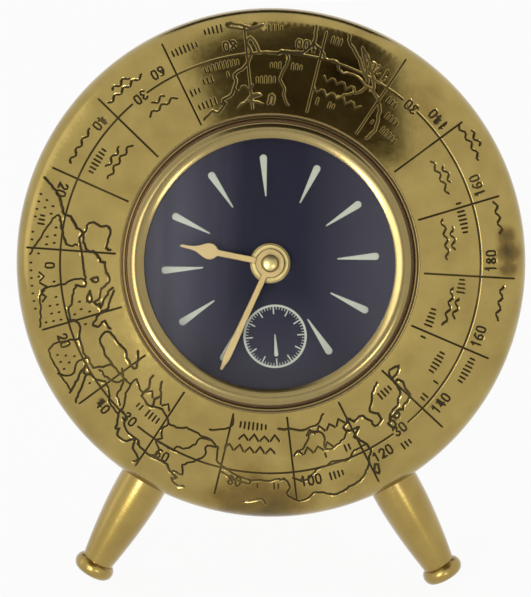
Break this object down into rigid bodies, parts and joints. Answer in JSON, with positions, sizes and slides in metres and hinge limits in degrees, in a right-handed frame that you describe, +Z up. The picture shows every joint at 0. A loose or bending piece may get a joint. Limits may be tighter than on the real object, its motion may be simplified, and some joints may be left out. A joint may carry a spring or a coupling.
{
  "type": "table clock",
  "caption": "Table clock: a round glazed dial in the middle of a shallow brass dome, standing on turned brass legs, with a swing hatch behind over the quartz movement and its cell.",
  "frame": {"origin": "on the table, under the middle of the clock's box", "axes": "+X to the viewer's right, -Y towards the viewer, +Z up"},
  "size_m": [0.152, 0.091, 0.1695],
  "materials": {
    "dome_brass": "polished and lacquered, with dark filled engraving",
    "spun_brass": "spun and polished",
    "turned_brass": "turned and polished",
    "gilt_brass": "satin gilt",
    "navy_dial": "satin paint with pale printed marks",
    "clear_glass": "flat, polished",
    "black_rubber": "matt",
    "black_plastic": "moulded",
    "white_plastic": "moulded",
    "steel": "bright",
    "copper_wire": "enamelled winding",
    "green_board": "solder resist",
    "cell_jacket": "plain printed jacket"
  },
  "bodies": {
    "case": {"dome_shell": "dome_brass", "dome_lug_1": "spun_brass", "dome_lug_2": "spun_brass", "dome_lug_3": "spun_brass", "dome_lug_4": "spun_brass", "rim_screw_1": "steel", "rim_screw_2": "steel", "rim_screw_3": "steel", "rim_screw_4": "steel", "rear_pan": "spun_brass", "front_leg_left": "turned_brass", "front_leg_right": "turned_brass", "rear_leg": "turned_brass", "leg_washer_front_left": "steel", "leg_washer_front_right": "steel", "leg_washer_rear": "steel", "leg_nut_front_left": "steel", "leg_nut_front_right": "steel", "leg_nut_rear": "steel", "hatch_pivot_screw": "steel", "hatch_pivot_nut": "steel", "bezel": "turned_brass", "bezel_nut": "spun_brass", "lens": "clear_glass", "lens_gasket": "black_rubber", "dial_spacer": "turned_brass", "dial_plate": "navy_dial", "dial_retainer": "spun_brass", "dial_washer": "gilt_brass", "dial_nut": "gilt_brass", "movement_pad": "black_rubber", "movement_case": "black_plastic", "movement_cover": "white_plastic", "centre_bushing": "spun_brass", "stator": "steel", "coil": "copper_wire", "circuit_board": "green_board", "quartz_can": "steel", "contact_positive": "steel", "contact_negative": "steel"},
    "minute": {"minute_hand": "gilt_brass", "cap_nut": "gilt_brass", "centre_wheel": "turned_brass"},
    "hour": {"hour_hand": "gilt_brass", "hour_wheel": "white_plastic"},
    "setting": {"setting_knob": "black_plastic", "minute_wheel": "white_plastic"},
    "third": {"third_wheel": "white_plastic"},
    "rotor": {"rotor": "steel"},
    "hatch": {"hatch_cover": "spun_brass", "hatch_knob": "turned_brass"},
    "cell": {"battery": "cell_jacket"}
  },
  "joints": [
    {"name": "minute_turn", "type": "hinge", "parent": "case", "child": "minute", "pos_m": [0, -0.02502, 0.10424], "axis": [0, 0.9397, -0.342], "continuous": true},
    {"name": "hour_turn", "type": "hinge", "parent": "case", "child": "hour", "pos_m": [0, -0.02502, 0.10424], "axis": [0, 0.9397, -0.342], "continuous": true},
    {"name": "setting_turn", "type": "hinge", "parent": "case", "child": "setting", "pos_m": [-0.00953, -0.013, 0.10572], "axis": [0, 0.9397, -0.342], "continuous": true},
    {"name": "third_turn", "type": "hinge", "parent": "case", "child": "third", "pos_m": [0.00777, -0.01265, 0.10667], "axis": [0, 0.9397, -0.342], "continuous": true},
    {"name": "rotor_turn", "type": "hinge", "parent": "case", "child": "rotor", "pos_m": [0.01249, -0.00985, 0.11436], "axis": [0, 0.9397, -0.342], "continuous": true},
    {"name": "hatch_swing", "type": "hinge", "parent": "case", "child": "hatch", "pos_m": [0, 0.03747, 0.12186], "axis": [0, 0.9953, -0.0967], "range_deg": [-100, 100]},
    {"name": "cell_lift", "type": "slide", "parent": "case", "child": "cell", "axis": [0, 0.9397, -0.342], "range_m": [0, 0.016]}
  ],
  "couplings": [
    {"joint": "hour_turn", "follows": "minute_turn", "ratio": 0.083333},
    {"joint": "setting_turn", "follows": "minute_turn", "ratio": -0.33333},
    {"joint": "third_turn", "follows": "minute_turn", "ratio": -7.5},
    {"joint": "rotor_turn", "follows": "minute_turn", "ratio": 60}
  ]
}
